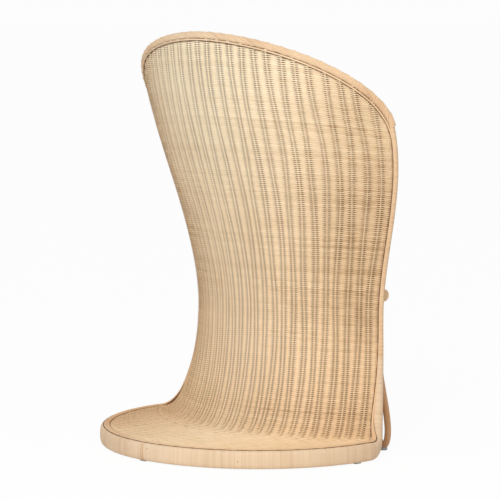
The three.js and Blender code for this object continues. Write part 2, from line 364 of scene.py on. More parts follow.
def addPiece(name, mesh, replaced=()):
    piece = addObject(name, mesh)
    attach(piece, "root")
    if replaced:
        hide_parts(*replaced)
    print("made", name, len(mesh.polygons), "faces")


def makePiece(name, guide, tree, slot, replaced=(), **inputs):
    # what the tree makes of the guide becomes a plain mesh; its float inputs are given in millimetres
    modifier = guide.modifiers.new("build", "NODES")
    modifier.node_group = tree
    for item in tree.interface.items_tree:
        key = item.name.replace(" ", "")
        if item.item_type == "SOCKET" and item.in_out == "INPUT" and key in inputs:
            value = inputs[key]
            modifier[item.identifier] = value * millimetre if isinstance(value, float) else value
    graph = bpy.context.evaluated_depsgraph_get()
    built = guide.evaluated_get(graph)
    mesh = bpy.data.meshes.new_from_object(built, preserve_all_data_layers=True, depsgraph=graph)
    mesh.name = name
    guide.modifiers.remove(modifier)
    bpy.data.objects.remove(guide)
    addPiece(name, mesh, replaced)


def rodPiece(name, lines, girth, tone, slot, sides, finish, replaced=(), closed=False):
    guide = guideLines(name, lines, closed=closed, girth=girth, tone=tone)
    makePiece(name, guide, rods, slot, replaced, Sides=sides, Finish=finish)


def newMaterial(name):
    material = bpy.data.materials.new(name)
    material.use_nodes = True
    tree = material.node_tree
    return material, tree, tree.nodes["Principled BSDF"]


def rampNode(tree, factor, stops):
    node = addNode(tree, "ShaderNodeValToRGB", [(0, factor)])
    ramp = node.color_ramp
    while len(ramp.elements) < len(stops):
        ramp.elements.new(0.5)
    for element, (place, colour) in zip(ramp.elements, stops):
        element.position = place
        element.color = (*colour, 1.0)
    return node.outputs[0]


def noiseNode(tree, vector, scale, detail=2.0, roughness=0.5):
    return flow(tree, "ShaderNodeTexNoise",
                [("Vector", vector), ("Scale", scale), ("Detail", detail), ("Roughness", roughness)])


def stretched(tree, scale=(1.0, 1.0, 1.0)):
    place = tree.nodes.new("ShaderNodeTexCoord").outputs["Object"]
    return flow(tree, "ShaderNodeMapping", [("Vector", place), ("Scale", scale)])


def attributeNode(tree, name, output="Fac"):
    return addNode(tree, "ShaderNodeAttribute", attribute_name=name).outputs[output]


def mapped(tree, value, source, target):
    # the value taken from one range to another
    return flow(tree, "ShaderNodeMapRange", list(enumerate((value, *source, *target))))


def tinted(tree, share, colour, tint, blend="MIX"):
    return addNode(tree, "ShaderNodeMix", [(0, share), (6, colour), (7, (*tint, 1.0))],
                   data_type="RGBA", blend_type=blend).outputs[2]


def paint(tree, shader, colour, roughness, height, look):
    bump = flow(tree, "ShaderNodeBump",
                [("Height", height), ("Strength", look["bump"]), ("Distance", look["bumpDistance"])])
    for name, value in (("Base Color", colour), ("Roughness", roughness), ("Normal", bump)):
        tree.links.new(value, shader.inputs[name])


def rattanMaterial(name, look):
    # strands and peel: each has its tone, with blotches over the whole chair, fibres and small dark flecks,
    # and painted shade deep in the weave and in the grooves between peel strips
    material, tree, shader = newMaterial(name)
    place = stretched(tree)
    blotch = noiseNode(tree, place, look["blotchScale"], look["blotchDetail"])
    tone = calc(tree, "MULTIPLY_ADD", attributeNode(tree, "tone"), look["toneShare"],
                calc(tree, "MULTIPLY", blotch, 1.0 - look["toneShare"]))
    fibre = noiseNode(tree, stretched(tree, look["fibreScale"]), 1.0, *look["fibreDetail"])
    grain = calc(tree, "MULTIPLY_ADD", fibre, look["fibreShare"], -0.5 * look["fibreShare"])
    colour = rampNode(tree, calc(tree, "ADD", tone, grain), look["stops"])
    spot = addNode(tree, "ShaderNodeSeparateXYZ", [(0, place)]).outputs
    start, rise, side = look["warm"]
    warm = calc(tree, "MULTIPLY_ADD", spot["Z"], rise, start)
    warm = calc(tree, "MULTIPLY_ADD", calc(tree, "ABSOLUTE", spot["X"]), side, warm)
    colour = tinted(tree, flow(tree, "ShaderNodeClamp", [(0, warm)]), colour, look["warmTint"], "MULTIPLY")
    # painted shade: the flanks of a strand that turn away from its side of the sheet lie deep in the weave,
    # and are darkened as if shade fell there
    normal = tree.nodes.new("ShaderNodeNewGeometry").outputs["Normal"]
    facing = vectorCalc(tree, "DOT_PRODUCT", attributeNode(tree, "face", "Vector"), normal)
    sunk = calc(tree, "MULTIPLY", calc(tree, "MULTIPLY", facing, attributeNode(tree, "side")), -1.0)
    sunk = mapped(tree, sunk, look["recessRange"], (0.0, look["recess"]))
    colour = tinted(tree, sunk, colour, look["recessColour"])
    # painted shade in the grooves between wound peel strips, in the same dark colour as the small flecks
    seam = mapped(tree, attributeNode(tree, "groove"), (look["seamStart"], 1.0), (0.0, look["seamShade"]))
    colour = tinted(tree, seam, colour, look["fleckColour"])
    fleckRange = (look["fleckStart"], look["fleckStart"] + look["fleckSoftness"])
    fleck = noiseNode(tree, place, look["fleckScale"], look["fleckDetail"])
    fleck = mapped(tree, fleck, fleckRange, (0.0, look["fleckShade"]))
    colour = tinted(tree, fleck, colour, look["fleckColour"])
    rough = mapped(tree, fibre, (0.0, 1.0), [look["roughness"] + change for change in look["roughChange"]])
    shader.inputs["Specular IOR Level"].default_value = look["specular"]
    paint(tree, shader, colour, rough, fibre, look)
    return material


# warm is the tint's share at the floor, and its change per metre of height and away from the middle
weaverLook = {
    "blotchScale": 9.0, "blotchDetail": 3.0, "toneShare": 0.72,
    "fibreScale": (260.0, 260.0, 700.0), "fibreDetail": (3.0, 0.6), "fibreShare": 0.3,
    "stops": [(0.0, (0.34, 0.19, 0.09)), (0.25, (0.60, 0.42, 0.24)),
              (0.5, (0.84, 0.68, 0.46)), (0.85, (1.0, 0.87, 0.65))],
    "fleckScale": 240.0, "fleckDetail": 1.0, "fleckStart": 0.74, "fleckSoftness": 0.06, "fleckShade": 0.75,
    "fleckColour": (0.26, 0.13, 0.055), "warm": (0.62, -0.78, 1.4), "warmTint": (0.97, 0.82, 0.68),
    # recess darkens the flanks of strands deep in the weave: painted shade
    "recess": 0.4, "recessRange": (0.06, 0.55),
    "recessColour": (0.28, 0.16, 0.075), "seamStart": 0.72, "seamShade": 0.0, "roughness": 0.62,
    "roughChange": (-0.08, 0.1), "specular": 0.35, "bump": 0.35, "bumpDistance": 0.0006,
}
peelLook = dict(weaverLook, **{
    "fibreScale": (900.0, 900.0, 60.0), "toneShare": 0.26, "fibreShare": 0.22, "fleckScale": 70.0,
    "fleckStart": 0.76, "warm": (0.25, 0.0, 0.7), "seamShade": 0.2,
    "stops": [(0.0, (0.44, 0.28, 0.15)), (0.2, (0.70, 0.51, 0.33)),
              (0.5, (0.82, 0.64, 0.45)), (0.85, (0.89, 0.73, 0.54))],
})
rimLook = dict(peelLook, **{
    "fibreScale": (60.0, 60.0, 900.0), "warm": (0.5, -0.5, 1.3),
    "stops": [(0.0, (0.44, 0.26, 0.14)), (0.25, (0.68, 0.47, 0.29)),
              (0.5, (0.84, 0.64, 0.43)), (0.9, (0.92, 0.75, 0.53))],
})
rodLook = dict(weaverLook, **{
    "fibreScale": (500.0, 500.0, 40.0), "toneShare": 0.2, "fleckScale": 55.0, "fleckStart": 0.72,
    "roughness": 0.5,
    "stops": [(0.0, (0.36, 0.19, 0.09)), (0.3, (0.62, 0.39, 0.22)),
              (0.6, (0.78, 0.53, 0.33)), (1.0, (0.86, 0.63, 0.42))],
})
# a dark rattan for painted shade: the shell in the weave's middle and the dark strands in the gaps beside
# the edge strips
paintedShadeLook = dict(weaverLook, **{
    "toneShare": 0.1, "warm": (0.0, 0.0, 0.0), "roughness": 0.85,
    "stops": [(0.0, (0.11, 0.058, 0.027)), (0.35, (0.19, 0.10, 0.05)),
              (0.65, (0.28, 0.16, 0.085)), (1.0, (0.38, 0.24, 0.13))],
})
weaverRattan = rattanMaterial("weaver_rattan", weaverLook)
paintedShadeRattan = rattanMaterial("weave_painted_shade", paintedShadeLook)
peelRattan = rattanMaterial("hoop_peel", peelLook)
rimRattan = rattanMaterial("rim_peel", rimLook)
rodRattan = rattanMaterial("leg_rod", rodLook)
print("materials ready")

# woven sheet; each wander has its waves across and up the sheet, and its seed
weave = {
    "stakesPerSide": 14, "rowPitch": 2.65, "strandRadius": 1.62, "strandChange": (0.93, 1.05), "sides": 5,
    "lift": 3.6, "rowsPerPiece": 105, "heightSamples": (900, 1400), "archSamples": 400,
    "topDroop": 45.0, "topDroopRise": (620.0, 1000.0), "lowDroop": 8.0, "lowDroopRise": (120.0, 340.0),
    "nearStake": (3.4, 7.2), "nearSway": 0.8, "farSway": 0.24, "openChange": 0.22, "openTop": 1.2,
    "openWander": (0.55, 85.0, 73), "endClear": 0.02, "leastShare": 0.03, "leastPoints": 4,
    "rowWander": 0.7, "backWander": (5.0, 70.0, 72), "settleRise": 60.0, "settlePower": 6,
    "seatCalm": 0.4, "seatWander": (4.0, 60.0, 71), "seatOverlap": 0.8, "seatSway": 0.4,
    "seatFlatten": 70.0, "edgeFade": 16.0, "edgeSway": 0.3,
    "stakeRadius": 2.5, "stakeSides": 8, "stakeWander": 0.05, "stakeWaves": ((61.0, 2.3), (143.0, -1.7)),
    "stakePoints": (12, 40, 46), "stakeSink": 1.8, "sinkPower": 4, "leastRun": 6.0, "stakeTone": (0.7, 0.95),
    "coreThickness": 1.0, "seatEndRun": 32.3, "coreColumns": 81, "coreRows": (9, 25, 49),
}
stakesPerSide = weave["stakesPerSide"]
seatReach = hoopRadius + weave["seatOverlap"]
weavers = weaverTree()
rods = rodTree()
wound = wrappedTree()
rope = ropeTree()


def spacedHeights():
    # heights of the rows at the chair's middle, a strand apart along the sheet
    low, high = weave["heightSamples"]
    top = form["overallHeight"] - braidTube
    fine = np.concatenate([scoopHeights(low), np.linspace(waistHeight, top, high)[1:]])
    along = runAlong(sheetPoint(np.zeros_like(fine), fine))
    count = int(along[-1] / weave["rowPitch"])
    return np.interp((np.arange(count) + 0.5) * weave["rowPitch"], along, fine)


def droopAt(height):
    high = ease(shareOf(height, *weave["topDroopRise"]))
    low = ease(shareOf(height, *weave["lowDroopRise"])) * (1.0 - high)
    return weave["topDroop"] * high + weave["lowDroop"] * low


def stakePlaces(height):
    # each stake's place in stake spaces, with a slow wander of its own up the back
    stakes = np.arange(-stakesPerSide, stakesPerSide + 1.0)
    sway = sum(np.sin(height / length + turn * stakes) for length, turn in weave["stakeWaves"])
    inner = np.abs(stakes) < stakesPerSide
    return stakes, stakes + weave["stakeWander"] * sway * inner


def crossings(index, limit, period, height):
    # places along a row in stake spaces, close together where it dives past a stake, and its side there
    near, far = (reach / period for reach in weave["nearStake"])
    last = stakesPerSide * limit
    stakes, middles = stakePlaces(height)
    sign = np.where((index + stakes) % 2 == 0, 1.0, -1.0)
    spots = np.concatenate([*(middles + step for step in (-far, -near, 0.0, near, far)),
                            (middles[1:] + middles[:-1]) / 2.0])
    opened = 1.0 + weave["openChange"] * wander(middles, height, weave["openWander"])
    nearSide = sign * weave["nearSway"] * np.minimum(opened, weave["openTop"])
    farSide = sign * weave["farSway"] * opened
    sides = np.concatenate([farSide, nearSide, sign, nearSide, farSide, np.zeros(len(stakes) - 1)])
    order = np.argsort(spots)
    spots, sides = spots[order], sides[order]
    kept = np.concatenate([[-last], spots[np.abs(spots) < last - weave["endClear"]], [last]])
    return kept, np.interp(kept, spots, sides)


# tones of the weave's rows: sideShade and seatShade give painted shade towards the sides, scoopTone gives
# painted light on the scoop
rowLook = {
    "base": 0.76, "spread": 0.09, "seed": 1000, "drift": 0.10, "driftWaves": (3.0, 9.0), "driftSeed": 3000,
    "sideShade": (0.85, 0.32), "sideSpan": (0.35, 0.85), "seatShade": 0.3, "seatRise": (60.0, 250.0),
    "scoopTone": 0.3, "scoopHeight": 220.0, "scoopSpan": 100.0, "topTone": 0.14, "topRise": (650.0, 900.0),
    "darkRows": 0.03, "darkMiddle": (-0.8, 0.8), "darkDepth": (0.15, 0.35), "darkSpan": (0.15, 0.5),
    "lowest": 0.05,
}


def rowTone(index, share, height):
    # each row's tone: random and drifting, with painted shade towards the sides and painted light on the
    # scoop
    pick = np.random.default_rng(rowLook["seed"] + index)
    base = rowLook["base"] + rowLook["spread"] * pick.standard_normal()
    acrossWave, alongWave = rowLook["driftWaves"]
    drift = rowLook["drift"] * swirl(share * acrossWave, share * alongWave, rowLook["driftSeed"] + index)
    shade = lerp(rowLook["seatShade"], 1.0, ease(shareOf(height, *rowLook["seatRise"])))
    shade = np.where(share < 0.0, *rowLook["sideShade"]) * shade
    tone = base + drift - shade * ease(shareOf(np.abs(share), *rowLook["sideSpan"]))
    # painted light: the scoop, which faces up towards the light, is made lighter
    rise = (height - rowLook["scoopHeight"]) / rowLook["scoopSpan"]
    tone = tone + rowLook["scoopTone"] * math.exp(-rise ** 2)
    tone = tone + rowLook["topTone"] * ease(shareOf(height, *rowLook["topRise"]))
    if pick.random() < rowLook["darkRows"]:
        middle = pick.uniform(*rowLook["darkMiddle"])
        depth = pick.uniform(*rowLook["darkDepth"])
        tone = tone - depth * np.exp(-((share - middle) / pick.uniform(*rowLook["darkSpan"])) ** 2)
    return np.clip(tone, rowLook["lowest"], 1.0)


def seatRow(index, reach):
    # rows of the flat seat are the scoop's first row moved forward, ended by the hoop
    period = float(sheetHalf(seatHeight) / stakesPerSide)
    spots, side = crossings(index, 1.0, period, seatHeight)
    share = spots / stakesPerSide
    points = sheetPoint(share, seatHeight) - np.array([0.0, reach, 0.0])
    inside = np.hypot(points[:, 0], points[:, 1]) < seatReach
    if inside.sum() < weave["leastPoints"]:
        return None
    points[:, 1] += weave["rowWander"] * weave["seatCalm"] * wander(share, reach, weave["seatWander"])
    margin = seatReach - np.hypot(points[:, 0], points[:, 1])
    side = side * lerp(weave["edgeSway"], 1.0, shareOf(margin, 0.0, weave["edgeFade"]))
    side = side * lerp(1.0, weave["seatSway"], ease(shareOf(reach, 0.0, weave["seatFlatten"])))
    face = np.zeros_like(points)
    face[:, 2] = 1.0
    return [array[inside] for array in (points, side, face, rowTone(index, share, seatHeight))]


def backRow(index, height):
    tops = np.linspace(0.0, 1.0, weave["archSamples"])
    under = height - droopAt(height) * tops ** 2 < springHeight + sheetRise * archShare(tops)
    limit = tops[under].max() if under.any() else 0.0
    if limit < weave["leastShare"]:
        return None
    period = float(sheetHalf(np.array(height)) / stakesPerSide)
    spots, side = crossings(index, limit, period, height)
    share = spots / stakesPerSide
    heights = height - droopAt(height) * share ** 2
    settle = ease(shareOf(height, seatHeight, seatHeight + weave["settleRise"]))
    settle = settle * (1.0 - np.abs(share) ** weave["settlePower"])
    heights = heights + weave["rowWander"] * settle * wander(share, height, weave["backWander"])
    heights = np.maximum(heights, seatHeight)
    return [sheetPoint(share, heights), side, sheetFace(share, heights), rowTone(index, share, height)]


def weaveSheet():
    rowHeights = spacedHeights()
    rows = []
    seatRows = int((seatReach - form["scoopForward"]) / weave["rowPitch"])
    for index in range(seatRows):
        rows.append((0, seatRow(-1 - index, (index + 0.5) * weave["rowPitch"])))
    for index, height in enumerate(rowHeights):
        rows.append((1 + index // weave["rowsPerPiece"], backRow(index, height)))
    names = ["weave_seat", "weave_scoop", "weave_waist", "weave_back", "weave_hood"]
    for number, name in enumerate(names):
        picked = [row for group, row in rows if group == number and row is not None]
        lines, sides, faces, tones = (list(column) for column in zip(*picked))
        girths = []
        for line in lines:
            girth = weave["strandRadius"] * millimetre * rng.uniform(*weave["strandChange"])
            girths.append(np.full(len(line), girth))
        guide = guideLines(name, lines, side=sides, face=faces, tone=tones, girth=girths)
        makePiece(name, guide, weavers, "woven_rattan", ("woven_sheet",), Lift=weave["lift"],
                  Sides=weave["sides"], Finish=weaverRattan)
    return len(rowHeights)


def stakeLines():
    seatPoints, lowPoints, highPoints = weave["stakePoints"]
    lines = []
    tones = []
    for stake in range(1 - stakesPerSide, stakesPerSide):
        top = springHeight + sheetRise * float(archShare(stake / stakesPerSide))
        high = np.linspace(waistHeight, top, highPoints)[1:]
        heights = np.concatenate([scoopHeights(lowPoints), high])
        places = [stakePlaces(height)[1][stake + stakesPerSide] for height in heights]
        up = sheetPoint(np.array(places) / stakesPerSide, heights)
        foot = up[0]
        front = -math.sqrt(max(seatReach ** 2 - foot[0] ** 2, 0.0))
        steps = np.linspace(0.0, 1.0, seatPoints)[:-1]
        seat = np.tile(foot, (len(steps), 1))
        seat[:, 1] = front + (foot[1] - front) * steps
        seat[:, 2] -= weave["stakeSink"] * (1.0 - steps ** weave["sinkPower"])
        lines.append(np.concatenate([seat, up]) if foot[1] - front > weave["leastRun"] else up)
        tones.append(np.full(len(lines[-1]), rng.uniform(*weave["stakeTone"])))
    return lines, tones


def coreGrid():
    # the sheet's middle as a grid of points, from the seat's front arc to the top edge
    seatRows, scoopRows, backRows = weave["coreRows"]
    shares = np.sin(np.linspace(-math.pi / 2, math.pi / 2, weave["coreColumns"]))
    foot = sheetPoint(shares, seatHeight)
    cornerAngle = math.atan2(cornerBend * math.sin(cornerTurn),
                             cornerBend * math.cos(cornerTurn) - cornerReach)
    turn = np.arcsin(np.clip(foot[:, 0] / foot[-1, 0], -1.0, 1.0))
    turn = turn * (cornerAngle - weave["seatEndRun"] / hoopRadius) / (math.pi / 2)
    front = np.stack([seatReach * np.sin(turn), -seatReach * np.cos(turn), seatHeight + 0.0 * turn], -1)
    rows = [lerp(front, foot, step) for step in np.linspace(0.0, 1.0, seatRows)[:-1]]
    for step in np.linspace(0.0, math.pi / 2, scoopRows)[:-1]:
        rows.append(sheetPoint(shares, lerp(waistHeight, seatHeight, math.cos(step))))
    top = springHeight + sheetRise * archShare(shares)
    for step in np.linspace(0.0, 1.0, backRows):
        rows.append(sheetPoint(shares, lerp(waistHeight, top, step)))
    return np.stack(rows)


def shellPiece(name, grid, thickness, finish):
    # a closed thin shell round a grid of points
    normal = unit(np.cross(np.gradient(grid, axis=1), np.gradient(grid, axis=0)))
    layers = [(grid + side * normal * thickness / 2.0).reshape(-1, 3) for side in (1.0, -1.0)]
    rows, columns = grid.shape[:2]
    above, below = np.arange(2 * rows * columns).reshape(2, rows, columns)
    corners = [(above[:-1, :-1], above[:-1, 1:], above[1:, 1:], above[1:, :-1]),
               (below[:-1, :-1], below[1:, :-1], below[1:, 1:], below[:-1, 1:])]
    for line, other, flip in ((above[0], below[0], True), (above[-1], below[-1], False),
                              (above[:, 0], below[:, 0], False), (above[:, -1], below[:, -1], True)):
        loop = (line[:-1], line[1:], other[1:], other[:-1])
        corners.append(loop[::-1] if flip else loop)
    faces = np.concatenate([np.stack([corner.ravel() for corner in loop], -1) for loop in corners])
    mesh = bpy.data.meshes.new(name)
    mesh.from_pydata(toWorld(np.concatenate(layers)).tolist(), [], faces.tolist())
    shell = bmesh.new()
    shell.from_mesh(mesh)
    bmesh.ops.recalc_face_normals(shell, faces=shell.faces)
    shell.to_mesh(mesh)
    shell.free()
    mesh.materials.append(finish)
    mesh.shade_smooth()
    addPiece(name, mesh)


# a dark thin shell in the sheet's middle: painted shade that shows through the weave's gaps where a dense
# weave is in shade
shellPiece("weave_shade_core", coreGrid(), weave["coreThickness"], paintedShadeRattan)
rowCount = weaveSheet()
lines, tones = stakeLines()
rodPiece("weave_stakes", lines, weave["stakeRadius"] * millimetre, tones, "woven_rattan",
         weave["stakeSides"], weaverRattan)
print("sheet woven,", rowCount, "rows up the back")

# edge of the chair: hoop, rims and top border; peel and rope hold the inputs of the wound and rope trees
edge = {
    "hoopPeel": {"StripWidth": 3.6, "RingSpacing": 0.9, "Groove": 0.32, "Sides": 32, "Seed": 3},
    "rimPeel": {"StripWidth": 3.6, "RingSpacing": 0.9, "Groove": 0.3, "Sides": 18, "Seed": 7},
    "rimSlim": 6.9, "slimEnd": 330.0, "rimStart": 0.9, "rimEnd": 1.8, "rimPoints": 120,
    "braidRope": {"StrandRadius": 2.5, "LayRadius": 6.1, "Strands": 9, "BundleRise": 0.9, "Pitch": 105.0,
                  "RingSpacing": 3.6, "Sides": 9},
    "braidRaise": 1.8, "braidPoints": 200,
}


def edgeLine(side, low, high, count):
    heights = np.linspace(low, high, count)
    section = levelSection(heights, hoopHeight)
    return levelPoint(side * section[1], heights, hoopHeight)


def archLine(count, inset=0.0):
    # the top edge, or a line beside it further down the sheet
    share = np.sin(np.linspace(-math.pi / 2, math.pi / 2, count))
    height = springHeight + archRise * archShare(share)
    arc = share * levelSection(height, hoopHeight)[1]
    if inset:
        run = np.gradient(arc)
        climb = np.gradient(height)
        size = np.hypot(run, climb)
        arc = arc + inset * climb / size
        height = height - inset * run / size
    return arc, height


arc, height = archLine(edge["braidPoints"], -edge["braidRaise"])
guide = guideLines("arch", [levelPoint(arc, height, hoopHeight)], girth=1.0)
makePiece("top_border", guide, rope, "wrapped_rattan", ("top_braid",), Finish=rimRattan, **edge["braidRope"])
print("top border made")

# the wound band round the seat, the lines that lie along it and up the rims, and the tie at the front;
# a line's place is outward and proud of the band, then inward and proud of the rims
border = {
    "bandPower": 3.2, "bandDrop": 1.0, "bandCut": 11.5, "step": 3.0, "cornerSmoothing": 23, "fadeEnd": 235.0,
    "turnRise": 56.0, "turnSmoothing": 25, "rimReach": 3.6, "reachGrowth": 1.4, "archTube": 12.6,
    "sidePoints": 260, "frontPoints": 420, "archPoints": 260, "climbPower": 1.6, "faceShare": 0.98,
    "edge_strip": {"place": (10.6, -2.2, 0.0, 4.4), "girth": (3.1, 2.1), "tone": 0.85},
    "edge_seam": {"place": (14.4, -1.9, -2.5, 4.2), "girth": (1.3, 0.5), "tone": 0.0, "seed": 81},
    "inner_strip": {"place": (5.2, -2.4, 0.0, 4.4), "girth": (2.9, 1.6), "tone": 0.7},
    "inner_gap_shade": {"place": (-1.8, -2.4, 2.7, 3.8), "girth": (1.1, 1.4), "tone": 0.35, "seed": 82},
    "stripSides": 12, "seamSides": 8, "seamWaver": 0.45, "waverStep": 2.2,
    "twinePlace": (0.8, -1.8, 0.0, 4.4),
    "twineRope": {"StrandRadius": 1.2, "LayRadius": 1.05, "Strands": 3, "BundleRise": 0.0, "Pitch": 21.0,
                  "RingSpacing": 1.5, "Sides": 7},
    "tieGirth": 0.5, "tieProud": 0.15, "tieMiddle": 15.0, "tieSpread": 2.6, "tiePoints": 120, "tieSides": 8,
}


def smoothed(table, count):
    # running mean along a closed loop
    ring = np.concatenate([table[-count:], table, table[:count]])
    window = np.ones(count) / count
    return np.column_stack([np.convolve(column, window, "same") for column in ring.T])[count:-count]


def edgeLoop():
    # the whole edge as one loop: tube middles, the side that the sitter sees, the sheet's lift and the tube
    climb = np.linspace(0.0, 1.0, border["sidePoints"]) ** border["climbPower"]
    climb = lerp(hoopHeight, springHeight, climb)
    left = levelPoint(levelSection(climb, hoopHeight)[1], climb, hoopHeight)
    lift = form["seatLift"] * (1.0 - shareOf(climb, hoopHeight, waistHeight))
    leftFace = sheetFace(np.full_like(climb, border["faceShare"]), climb + lift)
    lift = lift * leftFace[:, 2]
    arcEnd = math.atan2(left[0, 0], -left[0, 1])
    turn = np.linspace(-arcEnd, arcEnd, border["frontPoints"])[1:-1]
    front = np.stack([hoopRadius * np.sin(turn), -hoopRadius * np.cos(turn), hoopHeight + 0.0 * turn], -1)
    up = np.zeros_like(front)
    up[:, 2] = 1.0
    arc, height = archLine(border["archPoints"])
    share = np.clip(arc / sheetHalf(height), -border["faceShare"], border["faceShare"])
    arch = levelPoint(arc, height, hoopHeight)[::-1][1:-1]
    archFace = sheetFace(share, height)[::-1][1:-1]
    mirror = np.array([-1.0, 1.0, 1.0])
    tube = np.where(climb > thinningEnd, rimTube, edgeTube(climb))
    middles = np.concatenate([front, left, arch, (left * mirror)[::-1]])
    faces = np.concatenate([up, leftFace, archFace, (leftFace * mirror)[::-1]])
    lifts = np.concatenate([np.full(len(front), form["seatLift"]), lift, np.zeros(len(arch)), lift[::-1]])
    girths = np.concatenate([np.full(len(front), hoopTube), tube,
                             np.full(len(arch), border["archTube"]), tube[::-1]])
    table = np.column_stack([middles, faces, lifts, girths])
    table = np.concatenate([table, table[:1]])
    along = runAlong(table[:, :3])
    count = int(along[-1] / border["step"])
    places = np.arange(count) * along[-1] / count
    table = np.column_stack([np.interp(places, along, column) for column in table.T])
    smooth = smoothed(table, border["cornerSmoothing"])
    return smooth[:, :3], unit(smooth[:, 3:6]), smooth[:, 6], smooth[:, 7]


loopMiddle, loopFace, loopLift, loopGirth = edgeLoop()
loopRun = unit(np.roll(loopMiddle, -1, axis=0) - np.roll(loopMiddle, 1, axis=0))
loopInward = unit(np.cross(loopFace, loopRun))
loopFace = np.cross(loopRun, loopInward)
narrowing = shareOf(loopMiddle[:, 2], hoopHeight, thinningEnd) ** form["thinningPower"]
turning = ease(shareOf(loopMiddle[:, 2], hoopHeight, hoopHeight + border["turnRise"]))
turning = smoothed(turning[:, None], border["turnSmoothing"])[:, 0]


def besideEdge(outward, proud, rimInward, rimProud):
    # a line that lies on the band's top round the seat and beside the rims above it
    inner = border["rimReach"] + border["reachGrowth"] * (loopGirth - rimTube)
    reach = lerp(-outward, inner + rimInward, turning)
    rise = lerp(hoopTube + proud, loopLift + rimProud, turning)
    return loopMiddle + loopInward * reach[:, None] + loopFace * rise[:, None]


def seatPart(values, top=border["fadeEnd"]):
    # the stretch of the loop that runs round the seat, from low on the right side to low on the left
    low = loopMiddle[:, 2] < top
    start = int(np.argmax(low & ~np.roll(low, 1)))
    return np.roll(values, -start, axis=0)[:int(low.sum())]


def woundPiece(name, replaced, line, outward, face, girth, depth, power, peel, finish):
    guide = guideLines(name, [line], outward=[outward], face=[face], girth=[girth * millimetre],
                       depth=[depth * millimetre], power=[power])
    makePiece(name, guide, wound, "wrapped_rattan", (replaced,), Finish=finish, **peel)


bandDepth = loopGirth - lerp(border["bandCut"], 0.0, turning)
bandDrop = lerp(border["bandDrop"], 0.0, turning)
bandMiddle = loopMiddle - loopInward * (loopGirth - bandDepth)[:, None] - loopFace * bandDrop[:, None]
bandPower = lerp(border["bandPower"], 2.0, turning)
band = [seatPart(values, thinningEnd + border["step"]) for values in
        (bandMiddle, -loopInward, loopFace, loopGirth - bandDrop, bandDepth, bandPower)]
woundPiece("hoop_wrap", "seat_hoop", *band, edge["hoopPeel"], peelRattan)
for sideName, side in (("left", 1.0), ("right", -1.0)):
    line = edgeLine(side, thinningEnd + edge["rimStart"], springHeight + edge["rimEnd"], edge["rimPoints"])
    run = unit(np.gradient(line, axis=0))
    outward = unit(np.cross(run, np.array([0.0, -1.0, 0.0])))
    slimming = ease(shareOf(line[:, 2], thinningEnd, edge["slimEnd"]))
    tube = lerp(rimTube, edge["rimSlim"], slimming)
    woundPiece("rim_wrap_" + sideName, "side_rim_" + sideName, line, outward, np.cross(outward, run), tube,
               tube, np.full_like(tube, 2.0), edge["rimPeel"], rimRattan)


def ragged(girth, seed):
    # a dark strand of painted shade in a gap, wider and narrower along its way
    places = np.arange(len(girth)) / border["waverStep"]
    return girth * (1.0 + border["seamWaver"] * swirl(0.0 * places, places, seed))


def edgePiece(name, sides, finish, closed=True):
    # a strip, or a dark strand of painted shade in the gap beside a strip, beside the edge, all the way
    # round or only round the seat
    look = border[name]
    line = besideEdge(*look["place"])
    if "seed" in look:
        girth = ragged(lerp(*look["girth"], turning), look["seed"])
    else:
        girth = lerp(*look["girth"], narrowing)
    if not closed:
        line, girth = seatPart(line), seatPart(girth)
    rodPiece(name, [line], [girth * millimetre], look["tone"], "wrapped_rattan", sides, finish,
             closed=closed)


edgePiece("edge_strip", border["stripSides"], rimRattan)
# the dark strands lie in the gaps beside the strips: painted shade
edgePiece("edge_seam", border["seamSides"], paintedShadeRattan)
edgePiece("inner_strip", border["stripSides"], rimRattan, closed=False)
edgePiece("inner_gap_shade", border["seamSides"], paintedShadeRattan)
guide = guideLines("twine", [seatPart(besideEdge(*border["twinePlace"]))], girth=1.0)
makePiece("seat_twine", guide, rope, "wrapped_rattan", Finish=rimRattan, **border["twineRope"])


def tieLine(across):
    # one turn round the band's section at the front
    turn = np.linspace(0.0, 2.0 * math.pi, border["tiePoints"], endpoint=False)
    power = border["bandPower"]
    size = (np.abs(np.cos(turn)) ** power + np.abs(np.sin(turn)) ** power) ** (-1.0 / power)
    tube = hoopTube + border["tieProud"]
    reach = hoopRadius + border["bandCut"] + (tube - border["bandCut"]) * size * np.cos(turn)
    rise = (tube - border["bandDrop"]) * size * np.sin(turn) - border["bandDrop"]
    lean = across / hoopRadius
    return np.stack([reach * math.sin(lean), -reach * math.cos(lean), hoopHeight + rise], -1)


ties = [tieLine(border["tieMiddle"] + side * border["tieSpread"]) for side in (-1.0, 1.0)]
rodPiece("front_tie", ties, border["tieGirth"] * millimetre, 0.0, "wrapped_rattan",
         border["tieSides"], rodRattan, closed=True)
print("band, rims, borders and tie made")

# pole and hairpin legs
stand = {
    "poleInset": 4.6, "poleHeight": 396.0, "poleTube": 15.0, "poleNotch": 6.0, "polePoints": 120,
    "poleSides": 40, "poleTone": 0.1, "endPlaces": (0.0, 0.5, 1.6), "endRun": 3.5, "endRound": 2.2,
    "endCut": 0.10,
    "nodes": (-205.0, -15.0, 190.0), "nodeRise": 0.7, "nodeSpan": 3.0,
    "legRod": 8.2, "legFootInset": 32.0, "legFootSpread": 37.0, "legTopInset": 46.0, "legTopSpread": 26.0,
    "legBellyHeight": 60.0, "legNeckHeight": 230.0, "legLean": 31.0, "turnHeight": 11.5,
    "legPoints": 70, "turnPoints": 26, "legSides": 24, "legTone": 0.5,
}
crossing = edgeLine(1.0, stand["poleHeight"], stand["poleHeight"], 1)[0]
poleBack = crossing[1] + rimTube + stand["poleTube"] - stand["poleNotch"]
poleHalfLength = crossing[0] - stand["poleInset"]
legFootMiddle = poleHalfLength - stand["legFootInset"]
legTopMiddle = poleHalfLength - stand["legTopInset"]


